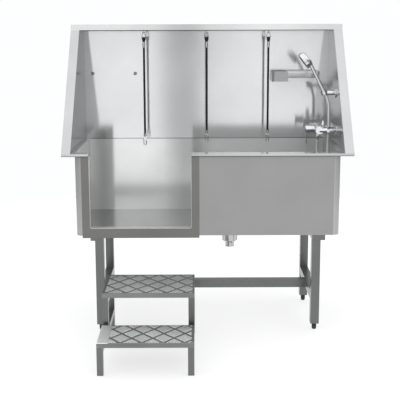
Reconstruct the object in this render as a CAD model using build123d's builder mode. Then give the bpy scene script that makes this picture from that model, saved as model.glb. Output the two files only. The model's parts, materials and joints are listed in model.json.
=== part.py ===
from build123d import *
import os
from math import atan2, cos, pi, radians, sin, tan

os.makedirs("parts", exist_ok=True)

# A stainless steel bathtub for washing dogs: a raised basin with a walk-in doorway, splash
# guards, a top ledge with three tethers, a mixer with a hand shower, a leg frame and steps.
# X runs across the tub, +Y from its front to its back and +Z up. The origin is on the floor,
# in the middle of the whole footprint, steps included.

# ---------------------------------------------------------------- driving dimensions, mm
TUB_WIDTH = 1270.0        # over the outer edges of the rim
HEIGHT = 1353.0           # floor to the top of the ledge
TUB_DEPTH = 613.0         # front edge of the rim to the rearmost flange
STEP_REACH = 527.0        # front of the lower step to the front edge of the rim
SHEET = 1.5               # stainless sheet

RIM_TOP = 802.0
RIM_LIP = 11.0            # height of the rim's turned-down edge
RIM_DEPTH = 50.0          # front rim, front to back
BASIN_HALF = 580.0        # outer faces of the basin's side walls
BASIN_FLOOR = 440.0       # top of the basin's floor
BASIN_SET_BACK = 8.0      # rim edge to the basin's front face
WALL_SET_BACK = 588.0     # rim edge to the inner face of the back wall
CORNER_R = 28.0

DOOR_LEFT = -517.0        # clear opening of the walk-in doorway
DOOR_RIGHT = -72.0
SILL_TOP = 471.0
SURROUND_FACE = 35.0      # width of the doorway's frame, seen from the front
SURROUND_DEPTH = 40.0
SURROUND_BOTTOM = 428.0

GUARD_HALF = 594.0        # inner faces of the splash guards
LEDGE_SET_BACK = 421.0    # rim edge to the ledge's front lip
LEDGE_LIP = 28.0
LEDGE_RETURN = 16.0
FLANGE = 22.0             # joining flanges at the back

LEG_TUBE = 38.0
LEG_WALL = 2.0
LEG_X = 479.0
LEG_FRONT = 28.0          # rim edge to the front legs' centre
LEG_BACK = 465.0
LEG_BOTTOM = 29.0
CHANNEL_X = 489.0
CHANNEL_WIDTH = 58.0
CHANNEL_HEIGHT = 23.5
CHANNEL_SPAN = (10.0, 560.0)      # from the rim edge to both ends
STRETCHER_BOTTOM = 138.0
STRETCHER_CENTRE = 237.0  # rim edge to the middle of the long stretcher

STEP_LEFT = -441.0
STEP_RIGHT = -59.0
STEP_TUBE = 25.0
STEP_WALL = 1.5
LOWER_STEP = 135.0        # tops of the two treads
UPPER_STEP = 264.0
LOWER_DEPTH = 214.0
UPPER_DEPTH = 285.0
STEP_GAP = 3.0            # steps to the rim's front edge
TREAD_LIP = 20.0
TREAD_PLATE = 2.5

RUN_FIT = 0.05            # radial clearance of a part that turns or slides in another
EASY_FIT = 0.3            # clearance between loose curved parts


def back(distance):
    """Y of a place that is this far behind the rim's front edge."""
    return STEP_REACH - (TUB_DEPTH + STEP_REACH) / 2 + distance


FRONT_FACE = back(BASIN_SET_BACK)
BACK_FACE = back(WALL_SET_BACK)
REAR = back(TUB_DEPTH)
RIM_HALF = TUB_WIDTH / 2
RIM_UNDER = RIM_TOP - SHEET
LEDGE_FRONT = back(LEDGE_SET_BACK)
LEDGE_UNDER = HEIGHT - SHEET
LIP_BOTTOM = HEIGHT - LEDGE_LIP
SEAM_Z = RIM_TOP - 3.0    # where the back wall meets the splash panel above it


# ---------------------------------------------------------------- helpers
def save(builder, name):
    """Label a finished piece and write it."""
    builder.part.label = name
    export_step(builder.part, f"parts/{name}.step")


def block(x, y, z, mode=Mode.ADD):
    """A box between two values along each axis, added to the part being built."""
    with Locations(((x[0] + x[1]) / 2, (y[0] + y[1]) / 2, (z[0] + z[1]) / 2)):
        Box(x[1] - x[0], y[1] - y[0], z[1] - z[0], mode=mode)


def rod(start, direction, radius, length, mode=Mode.ADD):
    """A round bar from a point along a direction, added to the part being built."""
    plane = Plane(origin=start, z_dir=direction)
    with Locations(plane.location):
        Cylinder(radius, length, align=(Align.CENTER, Align.CENTER, Align.MIN), mode=mode)


def hexagon_bar(start, direction, across_flats, length):
    """A hexagonal bar from a point along a direction, added to the part being built."""
    with BuildSketch(Plane(origin=start, z_dir=direction)) as section:
        RegularPolygon(across_flats / 2, 6, major_radius=False)
    extrude(section.sketch, amount=length)


def mirrored(span, side):
    """A pair of X values, moved to the side given by -1 or 1, in rising order."""
    return tuple(sorted((side * span[0], side * span[1])))


def side_name(side):
    return "left" if side < 0 else "right"


# ---------------------------------------------------------------- basin
def basin_plan(inset, back_y):
    """Plan of the basin, set in from its outer faces, with round front corners."""
    front = FRONT_FACE + inset
    with BuildSketch() as plan:
        with Locations((0, (front + back_y) / 2)):
            Rectangle(2 * (BASIN_HALF - inset), back_y - front)
        fillet(plan.vertices().group_by(Axis.Y)[0], CORNER_R - inset)
    return plan.sketch


# Drain: a deep strainer cup hangs through the floor and is clamped by a locknut.
DRAIN_X = 106.0
DRAIN_Y = back(290.0)
CUP_R = 36.5
CUP_WALL = 1.5
CUP_FLANGE_R = 50.0
CUP_BOTTOM = 343.0
OUTLET_R = 20.95          # 1 1/4 inch pipe thread
OUTLET_BOTTOM = 322.0
DRAIN_AXIS = Axis((DRAIN_X, DRAIN_Y, 0), (0, 0, 1))
drain_section = Plane(origin=(DRAIN_X, DRAIN_Y, 0), x_dir=(1, 0, 0), z_dir=(0, -1, 0))

with BuildPart() as basin_floor:
    with BuildSketch(Plane.XY.offset(BASIN_FLOOR - SHEET)):
        add(basin_plan(SHEET, BACK_FACE))
        with Locations((DRAIN_X, DRAIN_Y)):
            Circle(CUP_R + 0.5, mode=Mode.SUBTRACT)
    extrude(amount=SHEET)
save(basin_floor, "basin_floor")

BOLT_R = 3.0
BOLT_HOLE_R = 3.3
SEAM_BOLTS = [(x, BACK_FACE + 13.0) for x in (-480.0, -240.0, 0.0, 240.0, 480.0)]

with BuildPart() as back_wall:
    wall_x = (-BASIN_HALF, BASIN_HALF)
    block(wall_x, (BACK_FACE, BACK_FACE + SHEET), (BASIN_FLOOR - SHEET, SEAM_Z))
    block(wall_x, (BACK_FACE + SHEET, BACK_FACE + FLANGE), (SEAM_Z - SHEET, SEAM_Z))
    with Locations([(x, y, SEAM_Z) for x, y in SEAM_BOLTS]):
        Hole(BOLT_HOLE_R, depth=2 * SHEET)
save(back_wall, "back_wall")

DOOR_CUT = (DOOR_LEFT - SHEET, DOOR_RIGHT + SHEET)

# Each side wall and its part of the front is one sheet, bent round the front corner.
for side in (-1, 1):
    with BuildPart() as side_wrap:
        with BuildSketch(Plane.XY.offset(BASIN_FLOOR - SHEET)):
            add(basin_plan(0, BACK_FACE))
            add(basin_plan(SHEET, BACK_FACE + SHEET), mode=Mode.SUBTRACT)
            split_x = DOOR_CUT[0]
            kept = (-BASIN_HALF, split_x) if side < 0 else (split_x, BASIN_HALF)
            with Locations(((kept[0] + kept[1]) / 2, (FRONT_FACE + BACK_FACE) / 2)):
                Rectangle(kept[1] - kept[0], BACK_FACE - FRONT_FACE, mode=Mode.INTERSECT)
        extrude(amount=RIM_UNDER - BASIN_FLOOR + SHEET)
        if side > 0:
            block(DOOR_CUT, (FRONT_FACE - 5, FRONT_FACE + 5), (SILL_TOP - SHEET, RIM_TOP),
                  mode=Mode.SUBTRACT)
    save(side_wrap, f"side_wrap_{side_name(side)}")

# The doorway is finished by a folded frame that wraps round the cut edge of the front.
with BuildPart() as door_surround:
    outer_y = (FRONT_FACE - SHEET, FRONT_FACE)
    jamb_y = (FRONT_FACE - SHEET, FRONT_FACE + SURROUND_DEPTH)
    inner_y = (FRONT_FACE + SURROUND_DEPTH - SHEET, FRONT_FACE + SURROUND_DEPTH)
    post_top = RIM_TOP - RIM_LIP
    frame_x = (DOOR_LEFT - SURROUND_FACE, DOOR_RIGHT + SURROUND_FACE)
    left_x = (frame_x[0], DOOR_LEFT)
    right_x = (DOOR_RIGHT, frame_x[1])
    for post_x in (left_x, right_x):
        block(post_x, outer_y, (SURROUND_BOTTOM, post_top))
        block(post_x, inner_y, (BASIN_FLOOR, post_top))
    block((DOOR_LEFT - SHEET, DOOR_LEFT), jamb_y, (SILL_TOP - SHEET, post_top))
    block((DOOR_RIGHT, DOOR_RIGHT + SHEET), jamb_y, (SILL_TOP - SHEET, post_top))
    block((DOOR_LEFT, DOOR_RIGHT), outer_y, (SURROUND_BOTTOM, SILL_TOP))
    block((DOOR_LEFT, DOOR_RIGHT), inner_y, (BASIN_FLOOR, SILL_TOP))
    block((DOOR_LEFT, DOOR_RIGHT), jamb_y, (SILL_TOP - SHEET, SILL_TOP))
save(door_surround, "door_surround")

# ---------------------------------------------------------------- rim, guards and ledge
GUARD_BOLT_X = 614.0
GUARD_BOLT_Y = [back(d) for d in (90.0, 300.0, 500.0)]
REAR_BOLT_X = 608.0
REAR_BOLT_Z = (900.0, 1080.0, 1260.0)

for side in (-1, 1):
    door_edge = DOOR_LEFT if side < 0 else DOOR_RIGHT
    front_x = tuple(sorted((door_edge, side * RIM_HALF)))
    lip_x = mirrored((RIM_HALF - SHEET, RIM_HALF), side)
    lip_z = (RIM_TOP - RIM_LIP, RIM_TOP)
    with BuildPart() as rim:
        block(front_x, (back(0), back(RIM_DEPTH)), (RIM_UNDER, RIM_TOP))
        block(front_x, (back(0), back(SHEET)), lip_z)
        rear_lip_x = tuple(sorted((door_edge, side * (BASIN_HALF - SHEET))))
        block(rear_lip_x, (back(RIM_DEPTH - SHEET), back(RIM_DEPTH)), lip_z)
        side_x = mirrored((BASIN_HALF - SHEET, RIM_HALF), side)
        block(side_x, (back(RIM_DEPTH), BACK_FACE), (RIM_UNDER, RIM_TOP))
        block(lip_x, (back(0), BACK_FACE), lip_z)
        with Locations([(side * GUARD_BOLT_X, y, RIM_TOP) for y in GUARD_BOLT_Y]):
            Hole(BOLT_HOLE_R, depth=2 * SHEET)
    save(rim, f"rim_{side_name(side)}")

STUD_SPAN = 207.0
SPARE_CENTRE = -452.0     # the bare pair of studs
TRAY_CENTRE = 430.0       # the pair that carries the soap tray
STUD_Z = 1118.0
STUD_X = [centre + end * STUD_SPAN / 2 for centre in (SPARE_CENTRE, TRAY_CENTRE) for end in (-1, 1)]
STUD_R = 3.0

with BuildPart() as backsplash:
    panel_half = GUARD_HALF + SHEET + FLANGE
    block((-panel_half, panel_half), (BACK_FACE, BACK_FACE + SHEET), (SEAM_Z, LEDGE_UNDER))
    seam_x = (-BASIN_HALF, BASIN_HALF)
    block(seam_x, (BACK_FACE + SHEET, BACK_FACE + FLANGE), (SEAM_Z, SEAM_Z + SHEET))
    for side in (-1, 1):
        for z in REAR_BOLT_Z:
            rod((side * REAR_BOLT_X, BACK_FACE - 5, z), (0, 1, 0), BOLT_HOLE_R, 10,
                mode=Mode.SUBTRACT)
    with Locations([(x, y, SEAM_Z + SHEET) for x, y in SEAM_BOLTS]):
        Hole(BOLT_HOLE_R, depth=2 * SHEET)
save(backsplash, "backsplash")

# The mixer hangs on two unions that pass through the right-hand guard.
MIXER_X = 518.0
MIXER_Y = back(355.0)
MIXER_Z = 870.0
INLET_HALF_GAP = 75.0     # half the distance between the two pipes
INLET_Y = (MIXER_Y - INLET_HALF_GAP, MIXER_Y + INLET_HALF_GAP)
INLET_R = 10.45           # 1/2 inch pipe thread
INLET_HOLE_R = 11.0

slant = atan2(LIP_BOTTOM - RIM_TOP, LEDGE_FRONT - back(0))   # slope of the guards' front edges
for side in (-1, 1):
    panel_x = mirrored((GUARD_HALF, GUARD_HALF + SHEET), side)
    flange_x = mirrored((GUARD_HALF + SHEET, RIM_HALF), side)
    with BuildPart() as guard:
        with BuildSketch(Plane.YZ.offset(panel_x[0])) as panel:
            with BuildLine():
                Polyline((back(0), RIM_TOP), (BACK_FACE, RIM_TOP), (BACK_FACE, LEDGE_UNDER),
                         (LEDGE_FRONT + SHEET, LEDGE_UNDER), (LEDGE_FRONT + SHEET, LIP_BOTTOM),
                         (LEDGE_FRONT, LIP_BOTTOM), close=True)
            make_face()
        extrude(amount=SHEET)
        with BuildSketch(Plane.YZ.offset(flange_x[0])) as front_flange:
            step_back = SHEET / sin(slant)
            with BuildLine():
                Polyline((back(0), RIM_TOP), (back(0) + step_back, RIM_TOP),
                         (LEDGE_FRONT + step_back, LIP_BOTTOM), (LEDGE_FRONT, LIP_BOTTOM),
                         close=True)
            make_face()
        extrude(amount=flange_x[1] - flange_x[0])
        foot_x = mirrored((GUARD_HALF + SHEET, GUARD_HALF + 30), side)
        block(foot_x, (back(12), BACK_FACE), (RIM_TOP, RIM_TOP + SHEET))
        rear_x = mirrored((GUARD_HALF + SHEET, GUARD_HALF + SHEET + FLANGE), side)
        block(rear_x, (BACK_FACE - SHEET, BACK_FACE), (RIM_TOP + SHEET, LIP_BOTTOM))
        for y in GUARD_BOLT_Y:
            rod((side * GUARD_BOLT_X, y, RIM_TOP - 5), (0, 0, 1), BOLT_HOLE_R, 10,
                mode=Mode.SUBTRACT)
        for z in REAR_BOLT_Z:
            rod((side * REAR_BOLT_X, BACK_FACE - 5, z), (0, 1, 0), BOLT_HOLE_R, 10,
                mode=Mode.SUBTRACT)
        if side > 0:
            for y in INLET_Y:
                rod((GUARD_HALF - 5, y, MIXER_Z), (1, 0, 0), INLET_HOLE_R, 12, mode=Mode.SUBTRACT)
    save(guard, f"splash_guard_{side_name(side)}")

with BuildPart() as top_ledge:
    ledge_x = (-RIM_HALF, RIM_HALF)
    return_x = (-GUARD_HALF + 0.5, GUARD_HALF - 0.5)
    block(ledge_x, (LEDGE_FRONT, REAR), (LEDGE_UNDER, HEIGHT))
    block(ledge_x, (LEDGE_FRONT, LEDGE_FRONT + SHEET), (LIP_BOTTOM, HEIGHT))
    block(return_x, (LEDGE_FRONT, LEDGE_FRONT + LEDGE_RETURN), (LIP_BOTTOM, LIP_BOTTOM + SHEET))
    block(ledge_x, (REAR - SHEET, REAR), (LIP_BOTTOM, HEIGHT))
    for side in (-1, 1):
        block(mirrored((RIM_HALF - SHEET, RIM_HALF), side), (LEDGE_FRONT, REAR), (LIP_BOTTOM, HEIGHT))
save(top_ledge, "top_ledge")

# Hexagon bolts with nuts hold the guards to the rim and to the splash panel.
BOLT_HEAD = 4.0
BOLT_FLATS = 10.0


def panel_bolt(centre, axis, grip):
    """A bolt and its nut, clamping sheets that are grip thick about the centre."""
    start = Vector(centre) - Vector(axis) * (grip / 2 + BOLT_HEAD)
    hexagon_bar(start, axis, BOLT_FLATS, BOLT_HEAD)
    rod(start, axis, BOLT_R, grip + 2 * BOLT_HEAD + 3)
    hexagon_bar(Vector(centre) + Vector(axis) * grip / 2, axis, BOLT_FLATS, BOLT_HEAD)


with BuildPart() as panel_bolts:
    for side in (-1, 1):
        for y in GUARD_BOLT_Y:
            panel_bolt((side * GUARD_BOLT_X, y, RIM_TOP), (0, 0, -1), 2 * SHEET)
        for z in REAR_BOLT_Z:
            panel_bolt((side * REAR_BOLT_X, BACK_FACE, z), (0, 1, 0), 2 * SHEET)
    for x, y in SEAM_BOLTS:
        panel_bolt((x, y, SEAM_Z), (0, 0, -1), 2 * SHEET)
save(panel_bolts, "panel_bolts")

# ---------------------------------------------------------------- leg frame
CHANNEL_TOP = BASIN_FLOOR - SHEET
LEG_TOP = CHANNEL_TOP - CHANNEL_HEIGHT
LEG_PLATE = 4.0
STEM_R = 5.0


def hollow_bar(x, y, z, wall, axis):
    """A rectangular tube between two values along each axis, open at both ends."""
    block(x, y, z)
    inner = [(span[0] + wall, span[1] - wall) for span in (x, y, z)]
    inner[axis] = (x, y, z)[axis]
    block(*inner, mode=Mode.SUBTRACT)


for side in (-1, 1):
    channel_x = mirrored((CHANNEL_X - CHANNEL_WIDTH / 2, CHANNEL_X + CHANNEL_WIDTH / 2), side)
    channel_y = (back(CHANNEL_SPAN[0]), back(CHANNEL_SPAN[1]))
    with BuildPart() as frame_channel:
        hollow_bar(channel_x, channel_y, (LEG_TOP, CHANNEL_TOP), LEG_WALL, 1)
        block(channel_x, (channel_y[0], channel_y[0] + LEG_WALL), (LEG_TOP, CHANNEL_TOP))
    save(frame_channel, f"frame_channel_{side_name(side)}")

    leg_x = mirrored((LEG_X - LEG_TUBE / 2, LEG_X + LEG_TUBE / 2), side)
    for row, distance in (("front", LEG_FRONT), ("back", LEG_BACK)):
        leg_y = (back(distance) - LEG_TUBE / 2, back(distance) + LEG_TUBE / 2)
        foot_at = (side * LEG_X, back(distance), 0)
        with BuildPart() as leg:
            hollow_bar(leg_x, leg_y, (LEG_BOTTOM, LEG_TOP), LEG_WALL, 2)
            block(leg_x, leg_y, (LEG_BOTTOM, LEG_BOTTOM + LEG_PLATE))
            rod(foot_at, (0, 0, 1), STEM_R + RUN_FIT, LEG_BOTTOM + LEG_PLATE, mode=Mode.SUBTRACT)
        save(leg, f"leg_{row}_{side_name(side)}")

        with BuildPart() as foot:
            with BuildSketch(Plane(origin=foot_at, x_dir=(1, 0, 0), z_dir=(0, -1, 0))):
                with BuildLine():
                    Polyline((0, 0), (7.5, 0), (9.5, 3), (10.5, 10))
                    Line((10.5, 10), (10.5, 22))
                    Polyline((10.5, 22), (8, 25), (STEM_R, 25), (STEM_R, 62), (0, 62), (0, 0))
                make_face()
            revolve(axis=Axis(foot_at, (0, 0, 1)))
        save(foot, f"foot_{row}_{side_name(side)}")

    with BuildPart() as side_stretcher:
        hollow_bar(leg_x, (back(LEG_FRONT) + LEG_TUBE / 2, back(LEG_BACK) - LEG_TUBE / 2),
                   (STRETCHER_BOTTOM, STRETCHER_BOTTOM + LEG_TUBE), LEG_WALL, 1)
    save(side_stretcher, f"side_stretcher_{side_name(side)}")

with BuildPart() as cross_stretcher:
    cross_half = LEG_X - LEG_TUBE / 2
    cross_y = back(STRETCHER_CENTRE)
    hollow_bar((-cross_half, cross_half), (cross_y - LEG_TUBE / 2, cross_y + LEG_TUBE / 2),
               (STRETCHER_BOTTOM, STRETCHER_BOTTOM + LEG_TUBE), LEG_WALL, 0)
save(cross_stretcher, "cross_stretcher")

# ---------------------------------------------------------------- drain
LOCKNUT_R = 46.0
GASKET_TOP = BASIN_FLOOR - SHEET
GASKET = 3.0
LOCKNUT = 12.0
CUP_TOP = BASIN_FLOOR + SHEET
BASKET_R = 32.5
BASKET_DEPTH = 58.0

with BuildPart() as drain_cup:
    with BuildSketch(drain_section):
        with BuildLine():
            Polyline((CUP_R - CUP_WALL, CUP_TOP), (CUP_FLANGE_R - 2, CUP_TOP),
                     (CUP_FLANGE_R, BASIN_FLOOR), (CUP_R, BASIN_FLOOR), (CUP_R, CUP_BOTTOM + 10),
                     (OUTLET_R + 3, CUP_BOTTOM), (16, CUP_BOTTOM), (16, CUP_BOTTOM + 2),
                     (OUTLET_R + 2, CUP_BOTTOM + 2), (CUP_R - CUP_WALL, CUP_BOTTOM + 11),
                     close=True)
        make_face()
    revolve(axis=DRAIN_AXIS)
save(drain_cup, "drain_cup")


def washer(inner, outer, z):
    """A flat ring about the drain's axis, added to the part being built."""
    with BuildSketch(Plane.XY.offset(z[0])) as ring:
        with Locations((DRAIN_X, DRAIN_Y)):
            Circle(outer)
            Circle(inner, mode=Mode.SUBTRACT)
    extrude(ring.sketch, amount=z[1] - z[0])


with BuildPart() as drain_gasket:
    washer(CUP_R + 0.1, LOCKNUT_R, (GASKET_TOP - GASKET, GASKET_TOP))
save(drain_gasket, "drain_gasket")

with BuildPart() as drain_locknut:
    nut_top = GASKET_TOP - GASKET
    washer(CUP_R + 0.1, LOCKNUT_R - 3, (nut_top - LOCKNUT, nut_top))
    with BuildSketch(Plane.XY.offset(nut_top - LOCKNUT)) as lugs:
        with Locations((DRAIN_X, DRAIN_Y)):
            with PolarLocations(LOCKNUT_R - 3, 6):
                Rectangle(9, 12)
            Circle(CUP_R + 3, mode=Mode.SUBTRACT)
    extrude(amount=LOCKNUT)
save(drain_locknut, "drain_locknut")

with BuildPart() as drain_basket:
    rim_z = CUP_TOP
    foot_z = rim_z - BASKET_DEPTH
    with BuildSketch(drain_section):
        with BuildLine():
            Polyline((0, foot_z), (BASKET_R - 6, foot_z), (BASKET_R, foot_z + 6), (BASKET_R, rim_z),
                     (CUP_R + 5, rim_z), (CUP_R + 5, rim_z + 1.2), (BASKET_R - 1.2, rim_z + 1.2),
                     (BASKET_R - 1.2, foot_z + 6.5), (BASKET_R - 6.5, foot_z + 1.2),
                     (3, foot_z + 1.2), (3, foot_z + 44), (6, foot_z + 46), (6, foot_z + 52),
                     (0, foot_z + 54), close=True)
        make_face()
    revolve(axis=DRAIN_AXIS)
    with BuildSketch(Plane.XY.offset(foot_z - 1)):
        with Locations((DRAIN_X, DRAIN_Y)):
            for ring_r, count in ((11, 6), (20, 12)):
                with PolarLocations(ring_r, count):
                    Circle(2.2)
    extrude(amount=4, mode=Mode.SUBTRACT)
    for row in range(3):
        for turn in range(12):
            angle = radians(30 * turn + 15 * row)
            outward = (cos(angle), sin(angle), 0)
            start = Vector(DRAIN_X, DRAIN_Y, foot_z + 16 + 12 * row) + Vector(outward) * 20
            rod(start, outward, 2.2, BASKET_R - 15, mode=Mode.SUBTRACT)
save(drain_basket, "drain_basket")

with BuildPart() as drain_tailpiece:
    with BuildSketch(drain_section):
        with BuildLine():
            Polyline((16, CUP_BOTTOM), (OUTLET_R, CUP_BOTTOM), (OUTLET_R, OUTLET_BOTTOM),
                     (OUTLET_R - 3, OUTLET_BOTTOM), (16, CUP_BOTTOM - 4), close=True)
        make_face()
    revolve(axis=DRAIN_AXIS)
save(drain_tailpiece, "drain_tailpiece")

# ---------------------------------------------------------------- steps
STEP_FRONT = back(-STEP_REACH)
STEP_BACK = back(-STEP_GAP)
LOWER_RAIL_TOP = LOWER_STEP - TREAD_LIP
UPPER_RAIL_TOP = UPPER_STEP - TREAD_LIP
POST_FRONT = STEP_BACK - UPPER_DEPTH

for side, x0 in ((-1, STEP_LEFT), (1, STEP_RIGHT - STEP_TUBE)):
    bar_x = (x0, x0 + STEP_TUBE)
    front_y = (STEP_FRONT, STEP_FRONT + STEP_TUBE)
    post_y = (POST_FRONT, POST_FRONT + STEP_TUBE)
    rear_y = (STEP_BACK - STEP_TUBE, STEP_BACK)
    lower_z = (LOWER_RAIL_TOP - STEP_TUBE, LOWER_RAIL_TOP)
    upper_z = (UPPER_RAIL_TOP - STEP_TUBE, UPPER_RAIL_TOP)
    with BuildPart() as step_side:
        for bar_y, bar_z in ((front_y, (0, LOWER_RAIL_TOP)), (rear_y, (0, UPPER_RAIL_TOP)),
                             (post_y, (LOWER_RAIL_TOP, upper_z[0])),
                             ((front_y[1], rear_y[0]), lower_z), ((post_y[0], rear_y[0]), upper_z)):
            block(bar_x, bar_y, bar_z)
        inner_x = (bar_x[0] + STEP_WALL, bar_x[1] - STEP_WALL)
        for bar_y, top in ((front_y, lower_z[0]), (rear_y, lower_z[0])):
            inner_y = (bar_y[0] + STEP_WALL, bar_y[1] - STEP_WALL)
            block(inner_x, inner_y, (0, top), mode=Mode.SUBTRACT)
        for bar_y, bar_z in (((front_y[1] + STEP_WALL, rear_y[0] - STEP_WALL), lower_z),
                             ((post_y[0] + STEP_WALL, rear_y[0] - STEP_WALL), upper_z)):
            inner_z = (bar_z[0] + STEP_WALL, bar_z[1] - STEP_WALL)
            block(inner_x, bar_y, inner_z, mode=Mode.SUBTRACT)
    save(step_side, f"step_side_{side_name(side)}")

for name, tread_top, tread_y in (("lower", LOWER_STEP, (STEP_FRONT, STEP_FRONT + LOWER_DEPTH)),
                                 ("upper", UPPER_STEP, (POST_FRONT, STEP_BACK))):
    with BuildPart() as tread:
        block((STEP_LEFT, STEP_RIGHT), tread_y, (tread_top - TREAD_LIP, tread_top))
        top_edges = tread.edges().group_by(Axis.Z)[-1]
        fillet(top_edges, 2)
        block((STEP_LEFT + TREAD_PLATE, STEP_RIGHT - TREAD_PLATE),
              (tread_y[0] + TREAD_PLATE, tread_y[1] - TREAD_PLATE),
              (tread_top - TREAD_LIP, tread_top - TREAD_PLATE), mode=Mode.SUBTRACT)
    save(tread, f"{name}_tread")

# ---------------------------------------------------------------- studs and soap tray
TRAY_WIDTH = 227.0
TRAY_BOTTOM = 1081.0
TRAY_TOP = 1130.0
TRAY_SHEET = 1.2
TRAY_FRONT = BACK_FACE - 88.0
TRAY_REAR = BACK_FACE - 3.6
TRAY_LIFT = 14.0
TRAY_CORNER = 12.0
TRAY_WINDOW = (392.0, 524.0)      # wide window in the tray's front, from side to side
TRAY_WINDOW_Z = (1098.0, 1121.0)
KEYHOLE_R = 7.6

with BuildPart() as wall_studs:
    for x in STUD_X:
        stud_section = Plane(origin=(x, BACK_FACE, STUD_Z), x_dir=(1, 0, 0), z_dir=(0, 0, 1))
        with BuildSketch(stud_section) as half:
            with BuildLine():
                Polyline((0, 0), (8, 0), (8, -2), (STUD_R, -3.2), (STUD_R, -7), (7, -7), (7, -9.5),
                         (5, -11.5), (0, -12), close=True)
            make_face()
        revolve(half.sketch, axis=Axis((x, BACK_FACE, STUD_Z), (0, 1, 0)))
save(wall_studs, "wall_studs")

with BuildPart() as soap_tray:
    tray_y = (TRAY_FRONT + TRAY_REAR) / 2
    tray_depth = TRAY_REAR - TRAY_FRONT
    with BuildSketch(Plane.XY.offset(TRAY_BOTTOM)) as tray_plan:
        with Locations((TRAY_CENTRE, tray_y)):
            Rectangle(TRAY_WIDTH, tray_depth)
        fillet(tray_plan.vertices().group_by(Axis.Y)[0], TRAY_CORNER)
    extrude(amount=TRAY_TOP - TRAY_BOTTOM)
    with BuildSketch(Plane.XY.offset(TRAY_BOTTOM + TRAY_SHEET)) as tray_room:
        with Locations((TRAY_CENTRE, tray_y)):
            Rectangle(TRAY_WIDTH - 2 * TRAY_SHEET, tray_depth - 2 * TRAY_SHEET)
        fillet(tray_room.vertices().group_by(Axis.Y)[0], TRAY_CORNER - TRAY_SHEET)
    extrude(amount=TRAY_TOP - TRAY_BOTTOM, mode=Mode.SUBTRACT)
    with BuildSketch(Plane.XZ.offset(-TRAY_FRONT)):
        with Locations((sum(TRAY_WINDOW) / 2, sum(TRAY_WINDOW_Z) / 2)):
            RectangleRounded(TRAY_WINDOW[1] - TRAY_WINDOW[0], TRAY_WINDOW_Z[1] - TRAY_WINDOW_Z[0], 6)
    extrude(amount=5, both=True, mode=Mode.SUBTRACT)
    with BuildSketch(Plane.XY.offset(TRAY_BOTTOM)):
        with Locations((TRAY_CENTRE, tray_y)):
            with GridLocations(28, 0, 7, 1):
                SlotOverall(46, 6, rotation=90)
    extrude(amount=5, both=True, mode=Mode.SUBTRACT)
    with BuildSketch(Plane.XZ.offset(-TRAY_REAR)):
        for x in STUD_X[2:]:
            with Locations((x, STUD_Z - TRAY_LIFT)):
                Circle(KEYHOLE_R)
            with Locations((x, STUD_Z - TRAY_LIFT / 2)):
                Rectangle(2 * (STUD_R + EASY_FIT), TRAY_LIFT)
            with Locations((x, STUD_Z)):
                Circle(STUD_R + EASY_FIT)
    extrude(amount=5, both=True, mode=Mode.SUBTRACT)
save(soap_tray, "soap_tray")

# ---------------------------------------------------------------- mixer
BAR_R = 20.0
BAR_END = 85.0            # half length of the mixer's bar
HOUSING_R = 19.5
HANDLE_BACK = 492.0
HANDLE_TIP = 461.0
SPINDLE_R = 5.0
PIN_X = 466.5
PIN_R = 2.5
PIN_END = 800.0
ARM_END = MIXER_X + 34.0  # the two arms that reach from the bar to the unions
ARM_R = 13.0
KNOB_X = 535.0
KNOB_Y = back(284.0)
KNOB_Z = (891.5, 915.0)
KNOB_R = 11.5
KNOB_TIP_R = 4.5
KNOB_STEM_R = 3.0
OUTLET_Z = 846.0
HOSE_D = 14.0
HOSE_BOTTOM_Z = 822.0

with BuildPart() as mixer_body:
    rod((MIXER_X, MIXER_Y - BAR_END, MIXER_Z), (0, 1, 0), BAR_R, 2 * BAR_END)
    fillet(mixer_body.edges().filter_by(GeomType.CIRCLE), 3)
    rod((MIXER_X, MIXER_Y, MIXER_Z), (-1, 0, 0), HOUSING_R, MIXER_X - HANDLE_BACK)
    for y in INLET_Y:
        rod((MIXER_X, y, MIXER_Z), (1, 0, 0), ARM_R, ARM_END - MIXER_X)
    rod((MIXER_X, MIXER_Y, MIXER_Z), (0, 0, -1), 12, MIXER_Z - OUTLET_Z)
    rod((KNOB_X, KNOB_Y, MIXER_Z), (0, 0, 1), 9, KNOB_Z[0] - 0.5 - MIXER_Z)
    rod((KNOB_X, KNOB_Y, MIXER_Z), (0, 0, 1), KNOB_STEM_R, KNOB_Z[0] - MIXER_Z + 14)
    rod((HANDLE_BACK, MIXER_Y, MIXER_Z), (-1, 0, 0), SPINDLE_R, 14)
save(mixer_body, "mixer_body")

with BuildPart() as mixer_handle:
    rod((HANDLE_BACK - 0.5, MIXER_Y, MIXER_Z), (-1, 0, 0), HOUSING_R, HANDLE_BACK - 0.5 - HANDLE_TIP)
    fillet(mixer_handle.edges().sort_by(Axis.X)[0], 1.5)
    rod((HANDLE_BACK, MIXER_Y, MIXER_Z), (-1, 0, 0), SPINDLE_R + RUN_FIT, 15, mode=Mode.SUBTRACT)
    rod((PIN_X, MIXER_Y, MIXER_Z - 8), (0, 0, -1), PIN_R, MIXER_Z - 8 - PIN_END)
    pin_end = mixer_handle.faces().sort_by(Axis.Z)[0].edges()
    fillet(pin_end, 2)
save(mixer_handle, "mixer_handle")

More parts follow.
